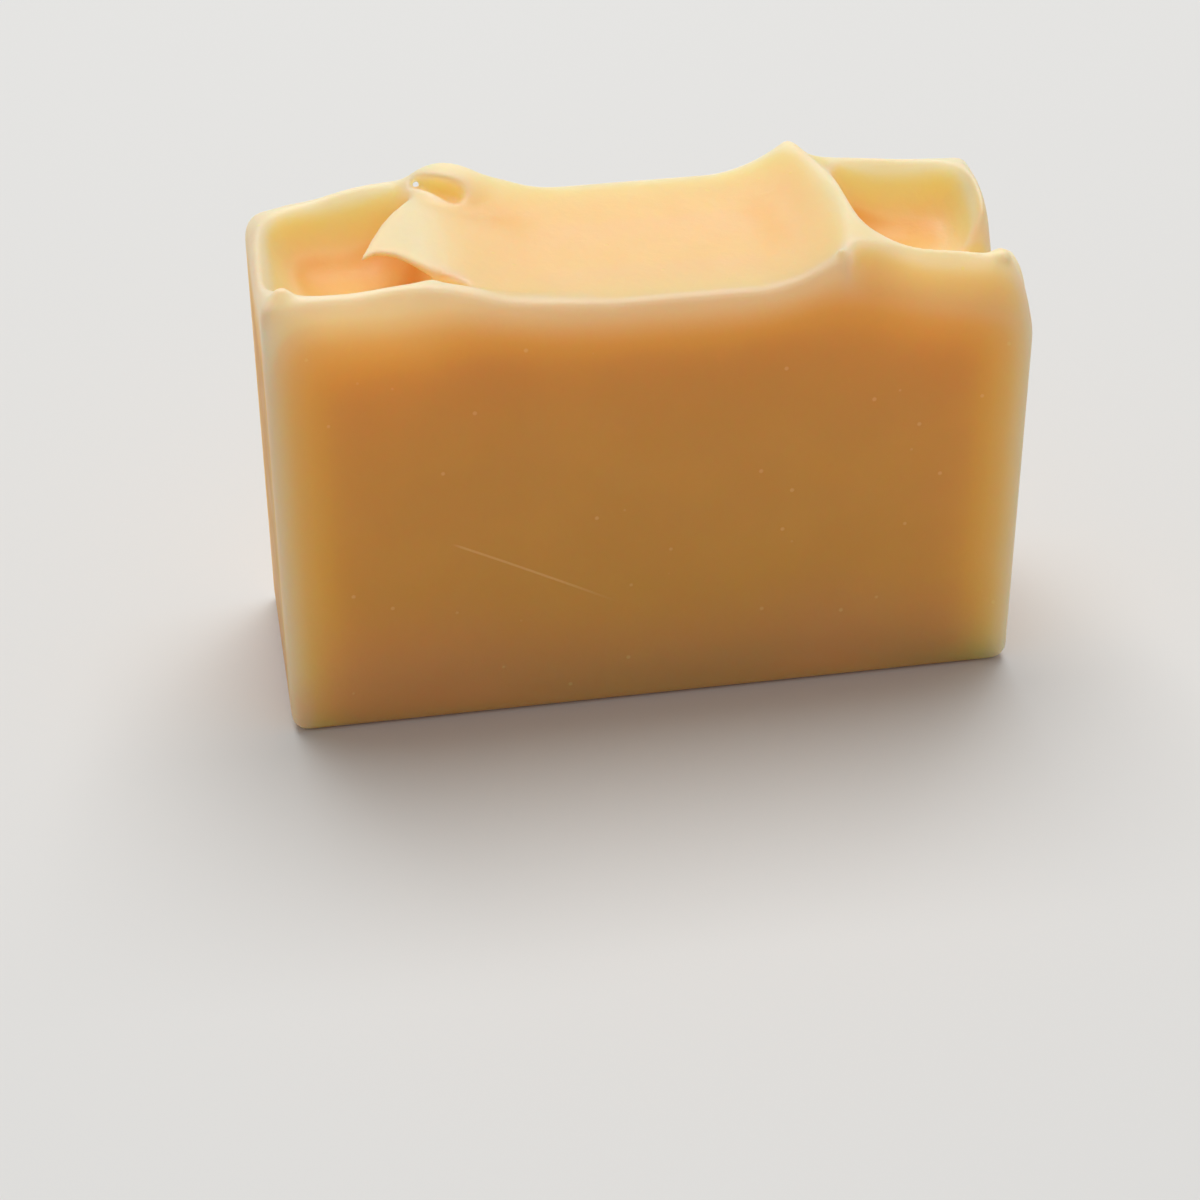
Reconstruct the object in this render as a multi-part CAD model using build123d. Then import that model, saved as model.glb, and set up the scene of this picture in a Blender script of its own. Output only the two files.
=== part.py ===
from build123d import *

import math
import os

# A bar of hand-made soap, cut from a loaf and standing on its long narrow foot.
# X runs along the bar from one mould wall to the other, Y from the front cut to the back cut, Z up.
# The origin is the middle of the foot. Lengths are in millimetres, angles in degrees.

# Body of the bar
BAR_LENGTH = 80.0
BAR_THICKNESS = 28.0
CHANNEL_HEIGHT = 49.2
MOULD_CORNER_RADIUS = 1.8
EDGE_BEVEL = 0.6

# Left bank: the top rises from the channel towards the left mould wall
LEFT_BANK_INSET = 16.5
LEFT_BANK_RAMP = 13.0
LEFT_BANK_FRONT_RISE = 4.0
LEFT_BANK_BACK_RISE = 2.8
LEFT_BANK_BACK_SLOPE = 0.12

# Ridge: a crest that bows along the right edge of the channel, with a long ramp on its left
RIDGE_FRONT_INSET = 20.4
RIDGE_BACK_INSET = 20.5
RIDGE_BOW = 2.2
RIDGE_RISE = 3.8
RIDGE_RAMP = 9.0
RIDGE_LEE = 2.0
RIDGE_SOFTNESS = 0.8

# Right bank: falls gently from the ridge, then rolls down to the right mould wall
RIGHT_BANK_FRONT_RISE = 2.8
RIGHT_BANK_BACK_RISE = 2.4
RIGHT_BANK_SLOPE = 0.12
RIGHT_ROLL_FRONT_WIDTH = 5.0
RIGHT_ROLL_BACK_WIDTH = 2.6
RIGHT_ROLL_FRONT_DROP = 4.5
RIGHT_ROLL_BACK_DROP = 0.8

# Front shoulders: both banks fall from a crest behind the front cut down to the cut itself
SHOULDER_INSET = 3.0
LEFT_SHOULDER_DROP = 1.4
RIGHT_SHOULDER_DROP = 4.6

# Spooned hollows, one in each bank, given by the walls they leave standing
LEFT_HOLLOW_SIDE_WALL = 1.8
LEFT_HOLLOW_FRONT_WALL = 2.0
LEFT_HOLLOW_LENGTH = 16.0
LEFT_HOLLOW_DEPTH = 5.7
RIGHT_HOLLOW_SIDE_WALL = 1.8
RIGHT_HOLLOW_FRONT_WALL = 3.0
RIGHT_HOLLOW_LENGTH = 14.8
RIGHT_HOLLOW_DEPTH = 6.2
HOLLOW_BACK_WALL = 1.6
HOLLOW_CORNER_RADIUS = 4.8
HOLLOW_FLOOR_RADIUS = 4.0
HOLLOW_FLARE = 8.0

# Run-out: a dip where the right hollow breaks through the right mould wall.
# Each point is a distance from the middle of the bar and a height above the channel.
RUN_OUT_POINTS = ((-7.5, 3.0), (-2.6, -2.8), (1.8, -6.0), (5.3, -2.6), (8.4, -1.2), (13.5, 3.0))
RUN_OUT_LENGTH = 7.0

# Curl: a mound at the back of the left bank, pierced by a tunnel that tapers to the back cut.
# Each station is a place along the bar from the left mould wall, a depth and a rise above the channel.
CURL_STATIONS = (
    (17.3, 5.6, 2.0),
    (19.0, 8.8, 4.0),
    (21.4, 10.2, 4.9),
    (25.6, 9.4, 3.6),
    (31.5, 5.0, -0.6),
)
CURL_BACK_INSET = 2.4
CURL_ROOT = 2.0
TUNNEL_MOUTH = (22.2, 7.4, 3.0)
TUNNEL_MOUTH_WIDTH = 3.0
TUNNEL_END = (18.4, -0.6, 3.2)
TUNNEL_END_WIDTH = 1.2

# Tongue: a thin lip that leans from the left bank out over the left hollow.
# Each station is a reach past the hollow wall, a middle y, a width, a rise of its top and a thickness.
TONGUE_STATIONS = (
    (-2.6, 0.6, 19.0, 2.4, 2.6),
    (0.1, 2.0, 14.0, 3.3, 2.6),
    (2.0, 1.7, 8.4, 2.9, 2.0),
    (4.3, 0.8, 3.1, 2.0, 1.1),
)
TONGUE_TIP = (6.5, -1.2, 0.7)

# Number of spline steps across each part of the top, and how far cutters stand clear of the bar
LEFT_STEPS = 14
RIGHT_STEPS = 10
CLEARANCE = 2.0

HALF_LENGTH = BAR_LENGTH / 2
HALF_THICKNESS = BAR_THICKNESS / 2
LEFT_BANK_X = LEFT_BANK_INSET - HALF_LENGTH
LEFT_HOLLOW_X = LEFT_HOLLOW_SIDE_WALL + LEFT_HOLLOW_LENGTH - HALF_LENGTH
STOCK_HEIGHT = CHANNEL_HEIGHT + RIDGE_RISE + LEFT_BANK_FRONT_RISE
TOUCHING = 1e-4


def mix(a, b, share):
    return a + (b - a) * share


def ease(value, start, end):
    """0 before start, 1 after end, and a smooth step between them."""
    share = min(1.0, max(0.0, (value - start) / (end - start)))
    return share * share * (3 - 2 * share)


def spread(start, end, steps):
    return [mix(start, end, i / steps) for i in range(steps + 1)]


def ridge_x(share):
    """Place of the crest, where share is 0 at the front cut and 1 at the back cut."""
    inset = mix(RIDGE_FRONT_INSET, RIDGE_BACK_INSET, share)
    return HALF_LENGTH - inset + RIDGE_BOW * 4 * share * (1 - share)


def left_top(x, share, shoulder):
    rise = mix(LEFT_BANK_FRONT_RISE, LEFT_BANK_BACK_RISE, share)
    rise -= share * LEFT_BANK_BACK_SLOPE * max(0.0, LEFT_BANK_X - x)
    rise -= LEFT_SHOULDER_DROP * shoulder
    bank = rise * ease(x, LEFT_BANK_X + LEFT_BANK_RAMP, LEFT_BANK_X)
    ramp = RIDGE_RISE * max(0.0, 1 + (x - ridge_x(share)) / RIDGE_RAMP) ** 2
    return CHANNEL_HEIGHT + bank + ramp


def right_top(x, share, shoulder):
    past = x - ridge_x(share)
    rise = mix(RIGHT_BANK_FRONT_RISE, RIGHT_BANK_BACK_RISE, share)
    rise -= RIGHT_BANK_SLOPE * past + RIGHT_SHOULDER_DROP * shoulder
    drop = mix(RIGHT_ROLL_FRONT_DROP, RIGHT_ROLL_BACK_DROP, share)
    width = mix(RIGHT_ROLL_FRONT_WIDTH, RIGHT_ROLL_BACK_WIDTH, share)
    roll = drop * max(0.0, 1 - (HALF_LENGTH - x) / width) ** 2
    return CHANNEL_HEIGHT + rise + (RIDGE_RISE - rise) * math.exp(-past / RIDGE_LEE) - roll


def top_section(y):
    """Outline of everything under the top, in an upright plane across the bar."""
    share = (y + HALF_THICKNESS) / BAR_THICKNESS
    shoulder = max(0.0, 1 - (y + HALF_THICKNESS) / SHOULDER_INSET)
    crest = ridge_x(share)
    reach = HALF_LENGTH + CLEARANCE
    left = [Vector(x, y, left_top(x, share, shoulder)) for x in spread(-reach, crest, LEFT_STEPS)]
    right = [Vector(x, y, right_top(x, share, shoulder)) for x in spread(crest, reach, RIGHT_STEPS)]
    foot = [Vector(reach, y, -CLEARANCE), Vector(-reach, y, -CLEARANCE)]
    corners = [right[-1], *foot, left[0]]
    sides = [Edge.make_line(a, b) for a, b in zip(corners, corners[1:])]
    return Face(Wire([Edge.make_spline(left), Edge.make_spline(right), *sides]))


def loaf_slice():
    """The slice with its free-form top, its crest rounded and its edges bevelled, before any spooning."""
    outline = Pos(0, STOCK_HEIGHT / 2) * Rectangle(BAR_LENGTH, STOCK_HEIGHT)
    outline = fillet(outline.vertices().group_by(Axis.Y)[0], MOULD_CORNER_RADIUS)
    stock = extrude(Plane.XZ * outline, HALF_THICKNESS, both=True)
    stations = (
        -HALF_THICKNESS - CLEARANCE,
        -HALF_THICKNESS + SHOULDER_INSET,
        -HALF_THICKNESS / 2,
        0,
        HALF_THICKNESS / 2,
        HALF_THICKNESS + CLEARANCE,
    )
    body = stock & loft([top_section(y) for y in stations])
    crest = body.edges().sort_by_distance((ridge_x(0.5), 0, CHANNEL_HEIGHT + RIDGE_RISE))[0]
    body = fillet(crest, RIDGE_SOFTNESS)
    cuts = [e for e in body.edges() if abs(abs(e.center().Y) - HALF_THICKNESS) < TOUCHING]
    walls = [e for e in body.edges() if abs(abs(e.center().X) - HALF_LENGTH) < TOUCHING]
    inner = [e for e in walls if abs(e.center().Y) < HALF_THICKNESS / 2]
    brims = [e for e in inner if e.center().Z > CHANNEL_HEIGHT / 2]
    return chamfer(cuts + brims, EDGE_BEVEL)


def spoon_out(body, left, right, front, floor):
    """Cut a flared hollow with a rounded floor between these limits."""
    back = HALF_THICKNESS - HOLLOW_BACK_WALL
    rim = STOCK_HEIGHT - floor
    inset = (CHANNEL_HEIGHT + RIGHT_BANK_FRONT_RISE - floor) * math.tan(math.radians(HOLLOW_FLARE))
    plan = RectangleRounded(right - left - 2 * inset, back - front - 2 * inset, HOLLOW_CORNER_RADIUS)
    spoon = extrude(Pos((left + right) / 2, (front + back) / 2, floor) * plan, rim, taper=-HOLLOW_FLARE)
    spoon = fillet(spoon.edges().group_by(Axis.Z)[0], HOLLOW_FLOOR_RADIUS)
    return body - spoon


def run_out():
    line = Edge.make_spline([Vector(0, y, CHANNEL_HEIGHT + rise) for y, rise in RUN_OUT_POINTS])
    profile = Face(Wire([line, Edge.make_line(line @ 1, line @ 0)]))
    start = HALF_LENGTH - RUN_OUT_LENGTH
    return extrude(Pos(start, 0, 0) * profile, RUN_OUT_LENGTH + CLEARANCE, dir=(1, 0, 0))


def curl():
    sections = []
    for along, depth, rise in CURL_STATIONS:
        middle = (along - HALF_LENGTH, HALF_THICKNESS - CURL_BACK_INSET, CHANNEL_HEIGHT - CURL_ROOT)
        across = Plane(origin=middle, x_dir=(0, 1, 0), z_dir=(1, 0, 0))
        sections.append(across * Ellipse(depth / 2, CURL_ROOT + rise))
    slab = Pos(0, 0, STOCK_HEIGHT / 2) * Box(BAR_LENGTH, BAR_THICKNESS, STOCK_HEIGHT)
    return loft(sections) & slab


def tunnel():
    start, end = [
        Vector(along - HALF_LENGTH, HALF_THICKNESS - inset, CHANNEL_HEIGHT + rise)
        for along, inset, rise in (TUNNEL_MOUTH, TUNNEL_END)
    ]
    path = end - start
    bore = Cone(TUNNEL_MOUTH_WIDTH / 2, TUNNEL_END_WIDTH / 2, path.length)
    return Plane(origin=(start + end) / 2, z_dir=path) * bore


def tongue():
    sections = []
    for reach, y, width, rise, thickness in TONGUE_STATIONS:
        x = LEFT_HOLLOW_X - reach
        top = CHANNEL_HEIGHT + rise
        front = Vector(x, y - width / 2, top - thickness / 2)
        back = Vector(x, y + width / 2, top - thickness / 2)
        over = Edge.make_three_point_arc(front, Vector(x, y, top), back)
        under = Edge.make_three_point_arc(back, Vector(x, y, top - thickness), front)
        sections.append(Face(Wire([over, under])))
    reach, y, rise = TONGUE_TIP
    return loft([*sections, Vertex(LEFT_HOLLOW_X - reach, y, CHANNEL_HEIGHT + rise)])


def soap_bar():
    body = loaf_slice()
    body = spoon_out(
        body,
        LEFT_HOLLOW_SIDE_WALL - HALF_LENGTH,
        LEFT_HOLLOW_X,
        LEFT_HOLLOW_FRONT_WALL - HALF_THICKNESS,
        CHANNEL_HEIGHT - LEFT_HOLLOW_DEPTH,
    )
    body = spoon_out(
        body,
        HALF_LENGTH - RIGHT_HOLLOW_SIDE_WALL - RIGHT_HOLLOW_LENGTH,
        HALF_LENGTH - RIGHT_HOLLOW_SIDE_WALL,
        RIGHT_HOLLOW_FRONT_WALL - HALF_THICKNESS,
        CHANNEL_HEIGHT - RIGHT_HOLLOW_DEPTH,
    )
    body -= run_out()
    body += curl()
    body += tongue()
    body -= tunnel()
    return body


os.makedirs("parts", exist_ok=True)
export_step(soap_bar(), "parts/soap_bar.step")
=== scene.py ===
import math

import bpy
import numpy as np
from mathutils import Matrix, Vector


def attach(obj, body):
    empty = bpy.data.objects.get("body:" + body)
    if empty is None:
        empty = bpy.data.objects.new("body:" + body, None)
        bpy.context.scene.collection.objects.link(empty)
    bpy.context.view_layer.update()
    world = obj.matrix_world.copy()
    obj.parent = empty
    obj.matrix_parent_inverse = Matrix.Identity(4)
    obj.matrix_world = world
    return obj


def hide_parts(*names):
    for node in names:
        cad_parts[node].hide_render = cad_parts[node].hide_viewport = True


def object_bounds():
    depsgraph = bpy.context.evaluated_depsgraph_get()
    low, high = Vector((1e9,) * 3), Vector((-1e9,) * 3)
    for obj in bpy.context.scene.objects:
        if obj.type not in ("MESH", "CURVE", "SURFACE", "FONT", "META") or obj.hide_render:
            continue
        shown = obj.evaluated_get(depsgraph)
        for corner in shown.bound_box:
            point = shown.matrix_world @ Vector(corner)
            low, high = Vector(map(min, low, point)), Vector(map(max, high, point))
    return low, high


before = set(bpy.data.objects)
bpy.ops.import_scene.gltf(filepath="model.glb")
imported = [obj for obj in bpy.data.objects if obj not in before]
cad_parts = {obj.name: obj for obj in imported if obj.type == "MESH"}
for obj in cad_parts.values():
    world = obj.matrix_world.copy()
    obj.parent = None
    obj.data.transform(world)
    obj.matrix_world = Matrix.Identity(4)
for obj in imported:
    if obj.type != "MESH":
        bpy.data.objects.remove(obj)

import openvdb
from mathutils import Matrix, Vector

# The soap is shaped in millimetres: x runs along the bar, y from the front cut to the back cut, z up
MM = 0.001
CAD_LOW, CAD_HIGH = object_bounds()
HALF_LENGTH = CAD_HIGH.x / MM
HALF_THICKNESS = CAD_HIGH.y / MM
HEIGHT = CAD_HIGH.z / MM

# Camera: place, lens, sensor and nearest distance in millimetres, angles in degrees
CAMERA_PLACE = (-48.31, -263.79, 179.17)
CAMERA_YAW = -9.559
CAMERA_PITCH = 33.204
CAMERA_ROLL = -0.423
CAMERA_LENS = 84.61
CAMERA_SENSOR = 36.0
CAMERA_NEAREST = 10.0

# Studio: places and sizes in metres, power in watts
FLOOR_HALF = 3.0
FLOOR_COLOUR = (0.72, 0.715, 0.70)
FLOOR_ROUGHNESS = 0.6
KEY_PLACE = (0.05, 0.5, 1.25)
KEY_TARGET = (0, 0, 0.03)
KEY_SIZE = (1.1, 0.9)
KEY_POWER = 15.5
WORLD_COLOUR = (0.9, 0.9, 0.9)
WORLD_STRENGTH = 0.38

# Grid of distances that the soap is carved in, reaches for evening out, steepest slope and mesh size
STEP = 0.25
MARGIN = 1.0
HEIGHT_BLUR = 0.35
FIELD_BLUR = 0.25
DEPTH_BLUR = 3.0
STEEPEST = 3.0
MOST_TRIANGLES = 185000

# Coarser grid for the share of soap around a point: steps to a cell, cells of padding, and reaches
COARSE = 2
COARSE_PAD = 24
THIN_REACHES = (0.5, 1.5)
BROAD_REACHES = (3.5,)

# Rounding of the mould corners, the knife edges and the rims, which are softer at two places
MOULD_RADIUS = 1.8
KNIFE_EDGE = 1.0
RIM_EDGE = 1.5
RIGHT_FRONT_SOFTENING = 1.5
RIGHT_FRONT_X = (17, 24)
RIGHT_FRONT_Y = (-8, -12)
LEFT_END_SOFTENING = 1.0
LEFT_END_X = (-34, -38)

# Lines of height are rounded over this reach, with this many samples
LINE_BLUR = 1.5
LINE_SAMPLES = 9

# Spread middle: its heights at the front and back cuts, and its climb to the lip over the left bowl
MIDDLE_FRONT = 48.8
MIDDLE_BACK = 49.5
LIP_RISE = 2.1
LIP_TILT = 0.04
LIP_X = (-9, -24)

# Left bank: lines of height along the bar as (x, z), and where its rim and its walls take over
LEFT_FRONT_LINE = (
    (-42, 52.2), (-34, 51.9), (-30, 51.85), (-27, 52.35), (-24.5, 52.4),
    (-22, 52.1), (-19, 51.3), (-15.5, 49.9), (-11, 49.4), (-5, 48.8),
)
LEFT_BACK_LINE = (
    (-42, 47.6), (-39, 49.4), (-36, 49.8), (-33, 50.0), (-29, 51.1), (-26, 51.6), (-20, 51.4),
)
LEFT_RIM_Y = (-9.8, -12.8)
LEFT_WALLS_X = (-20, -24)

# Right bank: lines of height along the bar as (x, z), and where one gives way to the next
RIGHT_CUT_LINE = ((18, 52.0), (20.9, 49.2), (23.3, 48.5), (30.3, 47.4), (36.6, 45.8), (40, 44.0))
RIGHT_CREST_LINE = (
    (18, 52.4), (22.4, 52.4), (24.1, 52.1), (28, 51.2), (32.4, 50.3),
    (35.2, 49.5), (37.4, 49.3), (38.6, 48.6), (39.8, 46.4),
)
RIGHT_CREST_BLUR = 0.8
RIGHT_BACK_LINE = ((18, 51.6), (21.3, 50.6), (24, 50.4), (28, 50.1), (33, 49.5), (41, 49.1))
RIGHT_SHOULDER_Y = (-14.3, -11.0)
RIGHT_BANK_Y = (-9, 13)

# Rim of the right end: heights as (y, z), slopes inwards as (y, slope), and its curve further in
RIGHT_RIM_LINE = (
    (-15, 44.6), (-11.6, 46.2), (-8.3, 47.0), (-5.3, 46.3), (-2.5, 44.6), (0.2, 42.6),
    (1.4, 42.9), (2.6, 45.0), (3.8, 47.0), (5.6, 48.3), (8.4, 49.5), (15, 49.8),
)
RIGHT_RIM_CLIMB = ((-15, 1.4), (-5, 1.0), (-1.5, 0.1), (1.8, 0.1), (4, 0.9), (15, 1.4))
RIGHT_RIM_BLUR = 0.4
RIGHT_CLIMB_BLUR = 0.6
RIGHT_RIM_INSET = 0.4
RIGHT_RIM_WIDTH = 4
RIGHT_RIM_CURVE = 0.6
RIGHT_RIM_JOIN = 0.8

# Ridge: crest in plan as (y, x), rise, long ramp, short lee, and the limit of both past the crest
RIDGE_LINE = ((-15, 19.2), (-7.6, 21.0), (-1.7, 22.2), (2.3, 22.0), (8.9, 20.9), (15, 19.0))
RIDGE_BLUR = 2.5
RIDGE_RISE = 3.7
RIDGE_RAMP = 9.5
RIDGE_FRONT_LEE = 0.7
RIDGE_BACK_LEE = 1.3
RIDGE_LEAST_DROP = 0.4
RIDGE_OVERRUN = 2
RIDGE_JOIN = 0.6

# Bowls: middle and half size in plan, height of the floor, rise of the wall and its power
LEFT_BOWL = ((-30.1, 0.3), (9.7, 12.9), 43.6, 9.0, 3.4)
LEFT_BOWL_JOIN = 1.4
RIGHT_BOWL = ((31.4, 1.0), (8.9, 12.6), 42.9, 9.4, 4.4)
RIGHT_BOWL_JOIN = 1.0
BOWL_SQUARENESS = 4

# Tongue over the left bowl: outline in plan as (x, y), thickness, droop of the tip and sunken root
TONGUE_OUTLINE = (
    (-30.3, -3.4), (-27.4, -2.1), (-25.7, -3.0), (-24.0, -5.0),
    (-22.4, -6.9), (-20.2, -8.3), (-16.5, -10.2), (-13.0, -10.6),
    (-13.0, 12.5), (-21.2, 12.6), (-21.9, 10.6), (-23.0, 8.4),
    (-24.8, 6.4), (-26.4, 4.1), (-27.8, 1.3), (-28.7, -0.8),
)
TONGUE_ROOT_THICKNESS = 1.8
TONGUE_TIP_THICKNESS = 0.8
TONGUE_TAPER_X = (-17, -27)
TONGUE_DROOP = 0.014
TONGUE_DROOP_X = -22
TONGUE_SINK = 1.0
TONGUE_SINK_X = (-22, -14)
TONGUE_EDGE = 1.1
TONGUE_JOIN = 0.3

# Lumps on the top: middle, half sizes, and how softly each joins
CURL_HEAD = ((-18.9, 11.3, 50.6), (3.8, 4.0, 3.0), 0.9)
CURL_SHOULDER = ((-16.8, 12.0, 48.4), (6.6, 4.6, 3.3), 2.6)
LEFT_NUB = ((-37.7, -12.4, 51.6), (1.2, 1.1, 1.3), 0.8)
RIGHT_NUB = ((36.7, -11.3, 48.6), (1.0, 1.3, 1.2), 1.0)

# Tapered rods that are carved out or added: both ends, both radii, and how softly each joins
CURL_TUNNEL = ((-17.9, 8.1, 52.1), (-21.6, 10.6, 52.4), 1.25, 0.7, 0.5)
CURL_GROOVE = ((-21.7, 10.6, 52.4), (-21.1, 14.6, 49.8), 0.5, 0.4, 0.3)
CREVICE = ((-25.0, -7.5, 48.0), (-20.0, -10.0, 50.0), 2.6, 1.2, 0.4)
TAG_ROOT = ((19.0, -13.3, 51.9), (20.9, -13.4, 49.7), 0.75, 0.6, 0.25)
TAG_END = ((20.9, -13.4, 49.7), (23.0, -13.4, 48.9), 0.55, 0.4, 0.25)

# Colours by the share of soap around a point, on the poured top and on the cut faces: paler where the
# soap is thin, as painted light shining through it, deeper where it is thick, as painted shade, and paler
# on the top than on the cut faces, as painted light falling on the top
LIT_TOP_COLOURS = (
    (0.24, (0.99, 0.48, 0.24)),
    (0.35, (0.99, 0.56, 0.32)),
    (0.40, (0.99, 0.60, 0.35)),
    (0.46, (0.99, 0.60, 0.29)),
    (0.53, (0.99, 0.61, 0.275)),
)
# Painted light and shade on the cut faces: pale at thin edges where light shines through, deep brown in
# the thick middle
SHADED_CUT_COLOURS = (
    (0.18, (0.99, 0.74, 0.54)),
    (0.25, (0.97, 0.68, 0.44)),
    (0.28, (0.95, 0.60, 0.35)),
    (0.37, (0.92, 0.54, 0.18)),
    (0.42, (0.90, 0.52, 0.115)),
    (0.455, (0.86, 0.48, 0.085)),
    (0.487, (0.785, 0.40, 0.077)),
)
# Painted light on the raised, thin lip and tongue
LIP_LIGHT = (0.99, 0.75, 0.45)
# Painted glow: light shining through the thin rims, laid on as a pale colour
RIM_GLOW = (0.99, 0.68, 0.50)
# Painted shade: a deeper amber for the bowls, where the walls around dim and redden the light
HOLLOW_SHADE_AMBER = (0.85, 0.50, 0.13)
# Painted warm bounce light and shade near the foot of the cut faces
FOOT_BOUNCE_AND_SHADE = (0.95, 0.30, 0.25)
PALE_MARK = (0.97, 0.66, 0.26)

# Where colours blend, by depth under the top or by the share of soap, as (first, last, low, high)
# Painted light on the raised lip, by how far it stands above the evened top
LIP_LIGHT_BY_DEPTH = (-3.5, 0.2, 0.8, 0.0)
# The top's colours reach down the cut faces' first millimetres: a pale strip of painted light shining
# down through the bar
CUT_BY_DEPTH = (0.3, 5.0, 0.0, 1.0)
# Painted warm bounce light and shade near the foot, by depth under the top
FOOT_BOUNCE_BY_DEPTH = (33.0, 48.0, 0.0, 0.27)
# Painted shade in the bowls, where much soap stands around
HOLLOW_SHADE_BY_SHARE = (0.52, 0.59, 0.0, 1.0)
# Painted glow on the thin rims, where little soap stands around
RIM_GLOW_BY_SHARE = (0.17, 0.34, 0.55, 0.0)
# Keeps the foot's painted bounce light and shade off the thin corners
INNER_BY_SHARE = (0.36, 0.46, 0.0, 1.0)

# Scattered light: reach of red, green and blue, its scale in metres by share, and where it is held back
SCATTER_RADIUS = (1.45, 0.8, 0.5)
SCATTER_BY_SHARE = (0.20, 0.45, 0.003, 0.015)
LIP_HOLD_BY_DEPTH = (-3.5, -0.5, 0.35, 1.0)
FOOT_HOLD_BY_DEPTH = (43.0, 49.0, 1.0, 0.3)

# Surface: gloss, relief, and noises as (scale, detail, low, high)
SOAP_IOR = 1.46
SOAP_SPECULAR = 0.35
NOISE_SPAN = (0.3, 0.7)
CLOUD_NOISE = (90.0, 3.0, -0.005, 0.005)
ROUGHNESS_NOISE = (260.0, 4.0, 0.40, 0.54)
GRAIN_NOISE = (420.0, 4.0, 0.0, 1.0)
BUMP_STRENGTH = 0.15
BUMP_DISTANCE = 0.2
MARK_STRENGTH = 0.5
MARK_RELIEF = 0.8

# Bubbles: cells to a metre, and their size as a share of a cell
SPECK_SCALE = 280.0
SPECK_FADE = (0.04, 0.085, 1.0, 0.0)

# Scratch on the front face: start, length and fades in millimetres, fall in degrees, and a slight bow
SCRATCH_START = (-22.1, -14.0, 22.3)
SCRATCH_FALL = 27.7
SCRATCH_LENGTH = 21.0
SCRATCH_BOW = -0.0008
SCRATCH_WIDTH_FADE = (0.06, 0.20, 1.0, 0.0)
SCRATCH_START_FADE = (0.0, 1.5, 0.0, 1.0)
SCRATCH_END_FADE = (0.6 * SCRATCH_LENGTH, SCRATCH_LENGTH, 1.0, 0.0)
SCRATCH_DEPTH_FADE = (0.5, 1.0, 1.0, 0.0)


def link(name, data):
    made = bpy.data.objects.new(name, data)
    bpy.context.scene.collection.objects.link(made)
    return made


def smooth_max(a, b, k):
    """The larger of two values, rounded where they come within k of each other."""
    share = np.clip(0.5 + 0.5 * (a - b) / k, 0, 1)
    return b + (a - b) * share + k * share * (1 - share)


def smooth_min(a, b, k):
    return -smooth_max(-a, -b, k)


def ease(value, start, end):
    """Soft step from 0 at the start to 1 at the end."""
    share = np.clip((value - start) / (end - start), 0, 1)
    return share**3 * (share * (6 * share - 15) + 10)


def mix(a, b, share):
    return a + (b - a) * share


def back_share(y):
    """0 at the front cut and 1 at the back cut."""
    return (y + HALF_THICKNESS) / (2 * HALF_THICKNESS)


def along(points, at, blur=LINE_BLUR):
    """Height along a line through a few points, rounded where they meet."""
    places, heights = zip(*points)
    shifts = np.linspace(-blur, blur, LINE_SAMPLES)
    return sum(np.interp(at + shift, places, heights) for shift in shifts) / LINE_SAMPLES


def blurred(values, reach):
    """Values on a grid, evened out over a reach given in cells."""
    half = round(3 * reach)
    weights = np.exp(-0.5 * (np.arange(-half, half + 1) / reach) ** 2)
    weights = (weights / weights.sum()).astype(values.dtype)
    for axis in range(values.ndim):
        pad = [(half, half) if k == axis else (0, 0) for k in range(values.ndim)]
        wide = np.moveaxis(np.pad(values, pad, mode="edge"), axis, 0)
        size = values.shape[axis]
        values = np.moveaxis(sum(w * wide[i : i + size] for i, w in enumerate(weights)), 0, axis)
    return values


def bowl(x, y, middle, half, floor, wall, power):
    """Height of a spooned bowl that is squarish in plan."""
    across = np.abs((x - middle[0]) / half[0]) ** BOWL_SQUARENESS
    through = np.abs((y - middle[1]) / half[1]) ** BOWL_SQUARENESS
    reach = (across + through) ** (1 / BOWL_SQUARENESS)
    return floor + wall * reach**power


def lip_height(x, y):
    """Height of the soft middle, which climbs to the lip over the left bowl."""
    climb = (LIP_RISE + LIP_TILT * y) * ease(x, *LIP_X)
    return mix(MIDDLE_FRONT, MIDDLE_BACK, back_share(y)) + climb


def left_height(x, y):
    """Height of the left bank, with its front rim and the walls around its bowl."""
    front = along(LEFT_FRONT_LINE, x)
    bank = mix(lip_height(x, y), front, ease(y, *LEFT_RIM_Y))
    walls = mix(front, along(LEFT_BACK_LINE, x), back_share(y))
    return mix(bank, walls, ease(x, *LEFT_WALLS_X))


def right_rim(x, y):
    """Height of the right end's broken rim, which climbs and then curves up inwards."""
    inwards = HALF_LENGTH - RIGHT_RIM_INSET - x
    rim = along(RIGHT_RIM_LINE, y, RIGHT_RIM_BLUR) + along(RIGHT_RIM_CLIMB, y, RIGHT_CLIMB_BLUR) * inwards
    return rim + RIGHT_RIM_CURVE * np.clip(inwards - RIGHT_RIM_WIDTH, 0, None) ** 2


def right_height(x, y, crest):
    """Height of the right bank, from the lee of the ridge to the right end."""
    crest_line = along(RIGHT_CREST_LINE, x, RIGHT_CREST_BLUR)
    front = mix(along(RIGHT_CUT_LINE, x), crest_line, ease(y, *RIGHT_SHOULDER_Y))
    bank = mix(front, along(RIGHT_BACK_LINE, x), ease(y, *RIGHT_BANK_Y))
    peak = mix(MIDDLE_FRONT, MIDDLE_BACK, back_share(y)) + RIDGE_RISE
    lee = mix(RIDGE_FRONT_LEE, RIDGE_BACK_LEE, back_share(y))
    fall = np.exp(np.clip((crest - x) / lee, None, RIDGE_OVERRUN))
    bank = bank + np.maximum(peak - bank, RIDGE_LEAST_DROP) * fall
    return smooth_min(bank, right_rim(x, y), RIGHT_RIM_JOIN)


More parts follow.
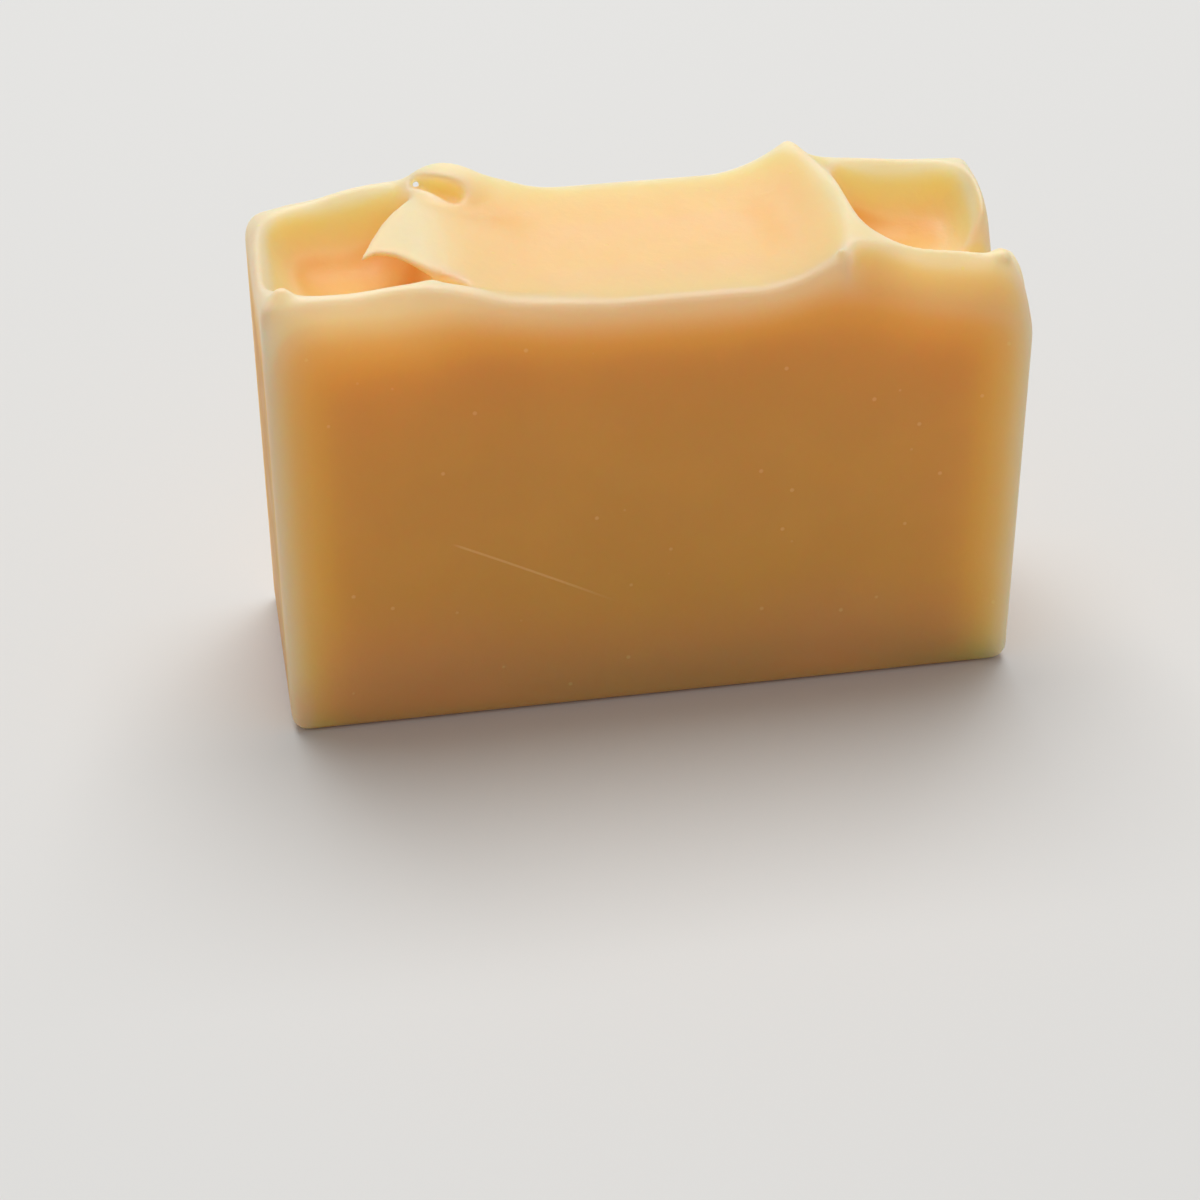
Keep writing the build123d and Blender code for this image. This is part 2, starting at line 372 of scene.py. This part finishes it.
def top_height(x, y):
    """Height of the poured top, before the curl, the tongue and the small lumps."""
    crest = along(RIDGE_LINE, y, RIDGE_BLUR)
    climb = np.clip(1 + (x - crest) / RIDGE_RAMP, 0, RIDGE_OVERRUN)
    ramp_up = left_height(x, y) + RIDGE_RISE * climb**2
    height = smooth_min(ramp_up, right_height(x, y, crest), RIDGE_JOIN)
    height = blurred(height, HEIGHT_BLUR / STEP)
    height = smooth_min(height, bowl(x, y, *LEFT_BOWL), LEFT_BOWL_JOIN)
    return smooth_min(height, bowl(x, y, *RIGHT_BOWL), RIGHT_BOWL_JOIN)


def rod(x, y, z, start, end, thick, thin):
    """Distance to a rod that tapers from one radius to another."""
    a = np.array(start)
    d = np.array(end) - a
    share = np.clip(((x - a[0]) * d[0] + (y - a[1]) * d[1] + (z - a[2]) * d[2]) / (d @ d), 0, 1)
    gaps = [place - a[k] - share * d[k] for k, place in enumerate((x, y, z))]
    return np.sqrt(gaps[0] ** 2 + gaps[1] ** 2 + gaps[2] ** 2) - mix(thick, thin, share)


def lump(x, y, z, middle, half):
    """Rough distance to an egg-shaped lump, exact at its surface."""
    reach = np.sqrt(sum(((p - m) / h) ** 2 for p, m, h in zip((x, y, z), middle, half)))
    return (reach - 1) * min(half)


def outline_distance(x, y, outline):
    """Distance in plan to a closed outline, negative inside it."""
    nearest = np.full(np.broadcast(x, y).shape, np.inf)
    inside = np.zeros(nearest.shape, bool)
    for (ax, ay), (bx, by) in zip(outline, outline[1:] + outline[:1]):
        dx, dy = bx - ax, by - ay
        share = np.clip(((x - ax) * dx + (y - ay) * dy) / (dx * dx + dy * dy), 0, 1)
        nearest = np.minimum(nearest, np.hypot(x - ax - share * dx, y - ay - share * dy))
        crosses = (ay > y) != (by > y)
        if dy:
            inside ^= crosses & (x < ax + (y - ay) * dx / dy)
    return np.where(inside, -nearest, nearest)


def tongue(x, y, z):
    """Distance to the thin tongue that leans over the left bowl."""
    plan = outline_distance(x[:, :, 0], y[:, :, 0], TONGUE_OUTLINE)[:, :, None]
    droop = TONGUE_DROOP * np.clip(TONGUE_DROOP_X - x, 0, None) ** 2
    top = lip_height(x, y) - droop - TONGUE_SINK * ease(x, *TONGUE_SINK_X)
    thick = mix(TONGUE_ROOT_THICKNESS, TONGUE_TIP_THICKNESS, ease(x, *TONGUE_TAPER_X))
    sheet = np.abs(z - top + thick / 2) - thick / 2
    return smooth_max(plan, sheet, TONGUE_EDGE)


def top_field(x, y, z, height):
    """Distance to the poured top with its curl, tongue, crevice, nubs and tag."""
    slope = np.gradient(height, STEP)
    steep = np.sqrt(1 + slope[0] ** 2 + slope[1] ** 2)
    top = (z - height[:, :, None]) / np.minimum(steep, STEEPEST)[:, :, None]
    for middle, half, join in (CURL_HEAD, CURL_SHOULDER, LEFT_NUB, RIGHT_NUB):
        top = smooth_min(top, lump(x, y, z, middle, half), join)
    top = smooth_min(top, tongue(x, y, z), TONGUE_JOIN)
    for *shape, join in (CURL_TUNNEL, CURL_GROOVE, CREVICE):
        top = smooth_max(top, -rod(x, y, z, *shape), join)
    for *shape, join in (TAG_ROOT, TAG_END):
        top = smooth_min(top, rod(x, y, z, *shape), join)
    return top


def slice_field(x, y, z):
    """Distance to the slice below its top, with rounded mould corners and knife edges."""
    aside = np.maximum(np.abs(x) - HALF_LENGTH + MOULD_RADIUS, 0)
    under = np.maximum(MOULD_RADIUS - z, 0)
    loaf = np.hypot(aside, under) - MOULD_RADIUS
    return smooth_max(loaf, np.abs(y) - HALF_THICKNESS, KNIFE_EDGE)


def rim_rounding(x, y):
    """Rounding between the top and the sides, softer at the right front and the left end."""
    right_front = RIGHT_FRONT_SOFTENING * ease(x, *RIGHT_FRONT_X) * ease(y, *RIGHT_FRONT_Y)
    return RIM_EDGE + right_front + LEFT_END_SOFTENING * ease(x, *LEFT_END_X)


def soap_field():
    """Distances to the soap on the grid, heights of its evened top, and the grid's low corner."""
    low = (-HALF_LENGTH - MARGIN, -HALF_THICKNESS - MARGIN, -MARGIN)
    high = (HALF_LENGTH + MARGIN, HALF_THICKNESS + MARGIN, HEIGHT + MARGIN)
    axes = [np.arange(a, b, STEP, dtype=np.float32) for a, b in zip(low, high)]
    height = top_height(*np.meshgrid(axes[0], axes[1], indexing="ij")).astype(np.float32)
    x, y, z = np.meshgrid(*axes, indexing="ij", sparse=True)
    field = smooth_max(slice_field(x, y, z), top_field(x, y, z, height), rim_rounding(x, y))
    field = blurred(field.astype(np.float32), FIELD_BLUR / STEP)
    return field, blurred(height, DEPTH_BLUR / STEP), np.array(low)


def solid_share(field, reaches, grounded):
    """Share of soap around each coarse cell, which tells thin edges from thick body.

    Where it is grounded, the foot counts as if the bar went on below it.
    """
    nx, ny, nz = [n // COARSE for n in field.shape]
    solid = (field[: nx * COARSE, : ny * COARSE, : nz * COARSE] < 0).astype(np.float32)
    blocks = solid.reshape(nx, COARSE, ny, COARSE, nz, COARSE)
    coarse = np.pad(blocks.mean(axis=(1, 3, 5)), COARSE_PAD)
    if grounded:
        foot = COARSE_PAD + round(MARGIN / STEP) // COARSE + 1
        coarse[:, :, :foot] = coarse[:, :, foot : foot + 1]
    return sum(blurred(coarse, reach / (COARSE * STEP)) for reach in reaches) / len(reaches)


def sample(grid, places):
    """Values of a grid at given places, blended from the eight cells around each."""
    base = np.clip(np.floor(places).astype(int), 0, np.array(grid.shape) - 2)
    part = places - base
    total = 0
    for corner in np.ndindex(2, 2, 2):
        weight = np.prod(np.where(corner, part, 1 - part), axis=1)
        at = base + corner
        total = total + weight * grid[at[:, 0], at[:, 1], at[:, 2]]
    return total


def add_shares(mesh, field, height, origin):
    """Mark each point with the shares of soap around it and its depth under the poured top."""
    points = np.empty(3 * len(mesh.vertices))
    mesh.vertices.foreach_get("co", points)
    fine = (points.reshape(-1, 3) / MM - origin) / STEP
    coarse = (fine + 0.5) / COARSE - 0.5 + COARSE_PAD
    thin = sample(solid_share(field, THIN_REACHES, False), coarse)
    broad = sample(solid_share(field, BROAD_REACHES, True), coarse)
    places = np.column_stack((fine[:, :2], np.zeros(len(fine))))
    depth = sample(np.stack((height, height), axis=2), places) - points[2::3] / MM
    for name, values in (("thin", thin), ("broad", broad), ("depth", depth)):
        mark = mesh.attributes.new(name, "FLOAT", "POINT")
        mark.data.foreach_set("value", values.astype(np.float32))


def soap_mesh(field, origin):
    """Mesh of the surface where the distance is zero."""
    grid = openvdb.FloatGrid(1.0)
    grid.copyFromArray(field)
    points, quads = grid.convertToQuads(0.0)
    points = (points * STEP + origin) * MM
    mesh = bpy.data.meshes.new("soap")
    mesh.from_pydata(points.tolist(), [], quads.tolist())
    mesh.update()
    return mesh


def keep_in_box(mesh):
    points = np.empty(3 * len(mesh.vertices))
    mesh.vertices.foreach_get("co", points)
    points = np.clip(points.reshape(-1, 3), CAD_LOW, CAD_HIGH)
    mesh.vertices.foreach_set("co", points.ravel())
    mesh.update()


def soap_piece():
    field, height, origin = soap_field()
    mesh = soap_mesh(field, origin)
    piece = link("soap", mesh)
    fewer = piece.modifiers.new("fewer", "DECIMATE")
    fewer.ratio = MOST_TRIANGLES / (2 * len(mesh.polygons))
    graph = bpy.context.evaluated_depsgraph_get()
    piece.data = bpy.data.meshes.new_from_object(piece.evaluated_get(graph))
    piece.modifiers.clear()
    keep_in_box(piece.data)
    add_shares(piece.data, field, height, origin)
    piece.data.shade_smooth()
    return piece


def spread(tree, value, first, last, low, high):
    """Bring a value from one range to another with soft ends."""
    made = tree.nodes.new("ShaderNodeMapRange")
    made.interpolation_type = "SMOOTHSTEP"
    made.inputs["From Min"].default_value = first
    made.inputs["From Max"].default_value = last
    made.inputs["To Min"].default_value = low
    made.inputs["To Max"].default_value = high
    tree.links.new(value, made.inputs["Value"])
    return made.outputs["Result"]


def noise(tree, coords, scale, detail, low, high):
    """Soft noise in the soap's own frame, brought to a range."""
    made = tree.nodes.new("ShaderNodeTexNoise")
    made.inputs["Scale"].default_value = scale
    made.inputs["Detail"].default_value = detail
    tree.links.new(coords, made.inputs["Vector"])
    return spread(tree, made.outputs["Fac"], *NOISE_SPAN, low, high)


def maths(tree, kind, *values):
    """A sum on node values; plain numbers are set on the node itself."""
    made = tree.nodes.new("ShaderNodeMath")
    made.operation = kind
    for socket, value in zip(made.inputs, values):
        if isinstance(value, (int, float)):
            socket.default_value = value
        else:
            tree.links.new(value, socket)
    return made.outputs["Value"]


def times(tree, first, second):
    return maths(tree, "MULTIPLY", first, second)


def ramp(tree, value, stops):
    """Colours that follow a value through a few stops."""
    made = tree.nodes.new("ShaderNodeValToRGB")
    elements = made.color_ramp.elements
    while len(elements) < len(stops):
        elements.new(0.5)
    for element, (place, colour) in zip(elements, stops):
        element.position = place
        element.color = (*colour, 1)
    tree.links.new(value, made.inputs["Fac"])
    return made.outputs["Color"]


def blend(tree, share, below, colour):
    """One colour laid over another by a share."""
    made = tree.nodes.new("ShaderNodeMix")
    made.data_type = "RGBA"
    first, second = [socket for socket in made.inputs if socket.type == "RGBA"]
    tree.links.new(share, made.inputs["Factor"])
    tree.links.new(below, first)
    if isinstance(colour, tuple):
        second.default_value = (*colour, 1)
    else:
        tree.links.new(colour, second)
    return [socket for socket in made.outputs if socket.type == "RGBA"][0]


def attribute(tree, name):
    made = tree.nodes.new("ShaderNodeAttribute")
    made.attribute_name = name
    return made.outputs["Fac"]


def specks(tree, coords):
    """Tiny bubbles, spread thinly through the soap."""
    cells = tree.nodes.new("ShaderNodeTexVoronoi")
    cells.inputs["Scale"].default_value = SPECK_SCALE
    tree.links.new(coords, cells.inputs["Vector"])
    return spread(tree, cells.outputs["Distance"], *SPECK_FADE)


def scratch(tree, coords):
    """A fine, slightly bowed scratch across the front face."""
    turned = tree.nodes.new("ShaderNodeMapping")
    turned.vector_type = "TEXTURE"
    turned.inputs["Location"].default_value = [v * MM for v in SCRATCH_START]
    turned.inputs["Rotation"].default_value = (0, math.radians(SCRATCH_FALL), 0)
    turned.inputs["Scale"].default_value = (MM, MM, MM)
    tree.links.new(coords, turned.inputs["Vector"])
    parts = tree.nodes.new("ShaderNodeSeparateXYZ")
    tree.links.new(turned.outputs["Vector"], parts.inputs["Vector"])
    run, deep, across = parts.outputs
    bow = times(tree, run, maths(tree, "SUBTRACT", SCRATCH_LENGTH, run))
    aside = maths(tree, "ABSOLUTE", maths(tree, "MULTIPLY_ADD", bow, SCRATCH_BOW, across))
    line = spread(tree, aside, *SCRATCH_WIDTH_FADE)
    start = spread(tree, run, *SCRATCH_START_FADE)
    end = spread(tree, run, *SCRATCH_END_FADE)
    near = spread(tree, deep, *SCRATCH_DEPTH_FADE)
    return times(tree, times(tree, line, times(tree, start, end)), near)


def soap_colour(tree, thin, broad, depth, marks):
    """Peach top with pale rims and amber hollows, over cut faces that darken towards their middle: the
    pale rims, lip and top are painted light, the amber hollows and dark middles are painted shade, and
    the foot has painted warm bounce light and shade.
    """
    # Painted light: the top's colours are paler where the soap is thin, and paler than the cut faces, as
    # lit soap
    poured = ramp(tree, thin, LIT_TOP_COLOURS)
    # Painted shade deepens the bowls to amber
    poured = blend(tree, spread(tree, broad, *HOLLOW_SHADE_BY_SHARE), poured, HOLLOW_SHADE_AMBER)
    # Painted glow of light through the thin rims
    poured = blend(tree, spread(tree, broad, *RIM_GLOW_BY_SHARE), poured, RIM_GLOW)
    # Painted light on the raised lip
    poured = blend(tree, spread(tree, depth, *LIP_LIGHT_BY_DEPTH), poured, LIP_LIGHT)
    # Painted warm bounce light and shade near the foot, kept off thin corners
    foot = times(tree, spread(tree, depth, *FOOT_BOUNCE_BY_DEPTH), spread(tree, broad, *INNER_BY_SHARE))
    # Painted shade: the cut faces darken towards their thick middle, where little light comes through
    sliced = blend(tree, foot, ramp(tree, broad, SHADED_CUT_COLOURS), FOOT_BOUNCE_AND_SHADE)
    # The top's painted light fades down the cut faces by depth
    body = blend(tree, spread(tree, depth, *CUT_BY_DEPTH), poured, sliced)
    return blend(tree, times(tree, marks, MARK_STRENGTH), body, PALE_MARK)


def soap_scatter(tree, thin, depth):
    """How far light wanders in the soap: less in thin rims, in the raised lip and at the foot."""
    reach = spread(tree, thin, *SCATTER_BY_SHARE)
    lip = spread(tree, depth, *LIP_HOLD_BY_DEPTH)
    foot = spread(tree, depth, *FOOT_HOLD_BY_DEPTH)
    return times(tree, reach, times(tree, lip, foot))


def soap_relief(tree, coords, marks):
    """Fine grain of the surface, with the bubbles and the scratch."""
    bump = tree.nodes.new("ShaderNodeBump")
    bump.inputs["Strength"].default_value = BUMP_STRENGTH
    bump.inputs["Distance"].default_value = BUMP_DISTANCE * MM
    grain = noise(tree, coords, *GRAIN_NOISE)
    tree.links.new(maths(tree, "MULTIPLY_ADD", marks, MARK_RELIEF, grain), bump.inputs["Height"])
    return bump.outputs["Normal"]


def soap_material():
    made = bpy.data.materials.new("soap")
    made.use_nodes = True
    tree = made.node_tree
    shader = tree.nodes["Principled BSDF"].inputs
    coords = tree.nodes.new("ShaderNodeTexCoord").outputs["Object"]
    cloud = noise(tree, coords, *CLOUD_NOISE)
    thin = maths(tree, "ADD", attribute(tree, "thin"), cloud)
    broad = maths(tree, "ADD", attribute(tree, "broad"), cloud)
    depth = attribute(tree, "depth")
    marks = maths(tree, "MAXIMUM", specks(tree, coords), scratch(tree, coords))
    tree.links.new(soap_colour(tree, thin, broad, depth, marks), shader["Base Color"])
    tree.links.new(noise(tree, coords, *ROUGHNESS_NOISE), shader["Roughness"])
    tree.links.new(soap_relief(tree, coords, marks), shader["Normal"])
    tree.links.new(soap_scatter(tree, thin, depth), shader["Subsurface Scale"])
    shader["Subsurface Weight"].default_value = 1.0
    shader["Subsurface Radius"].default_value = SCATTER_RADIUS
    shader["IOR"].default_value = SOAP_IOR
    shader["Specular IOR Level"].default_value = SOAP_SPECULAR
    return made


def aim_camera():
    yaw, pitch, roll = [math.radians(a) for a in (CAMERA_YAW, CAMERA_PITCH, CAMERA_ROLL)]
    level = Vector((math.cos(yaw), math.sin(yaw), 0))
    ahead = Vector((-math.sin(yaw) * math.cos(pitch), math.cos(yaw) * math.cos(pitch), -math.sin(pitch)))
    upright = level.cross(ahead)
    right = level * math.cos(roll) + upright * math.sin(roll)
    up = upright * math.cos(roll) - level * math.sin(roll)
    lens = bpy.data.cameras.new("camera")
    lens.lens = CAMERA_LENS
    lens.sensor_width = CAMERA_SENSOR
    lens.clip_start = CAMERA_NEAREST * MM
    camera = link("camera", lens)
    turn = Matrix((right, up, -ahead)).transposed().to_4x4()
    camera.matrix_world = Matrix.Translation(Vector(CAMERA_PLACE) * MM) @ turn
    bpy.context.scene.camera = camera


def floor_piece():
    half = FLOOR_HALF
    corners = [(-half, -half, 0), (half, -half, 0), (half, half, 0), (-half, half, 0)]
    mesh = bpy.data.meshes.new("floor")
    mesh.from_pydata(corners, [], [(0, 1, 2, 3)])
    paint = bpy.data.materials.new("floor")
    paint.use_nodes = True
    shader = paint.node_tree.nodes["Principled BSDF"].inputs
    shader["Base Color"].default_value = (*FLOOR_COLOUR, 1)
    shader["Roughness"].default_value = FLOOR_ROUGHNESS
    mesh.materials.append(paint)
    return link("floor", mesh)


def key_light():
    """A large soft lamp above and a little behind the bar."""
    lamp = bpy.data.lights.new("key", "AREA")
    lamp.shape = "RECTANGLE"
    lamp.size, lamp.size_y = KEY_SIZE
    lamp.energy = KEY_POWER
    key = link("key", lamp)
    key.location = KEY_PLACE
    key.rotation_euler = (Vector(KEY_TARGET) - Vector(KEY_PLACE)).to_track_quat("-Z", "Y").to_euler()


def room_light():
    """Even light from all around."""
    world = bpy.data.worlds.new("world")
    bpy.context.scene.world = world
    world.use_nodes = True
    sky = world.node_tree.nodes["Background"].inputs
    sky["Color"].default_value = (*WORLD_COLOUR, 1)
    sky["Strength"].default_value = WORLD_STRENGTH


soap = soap_piece()
soap.data.materials.append(soap_material())
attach(soap, "root")
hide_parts("soap_bar")
floor = floor_piece()
key_light()
room_light()
aim_camera()
bpy.context.scene.view_settings.view_transform = "Standard"
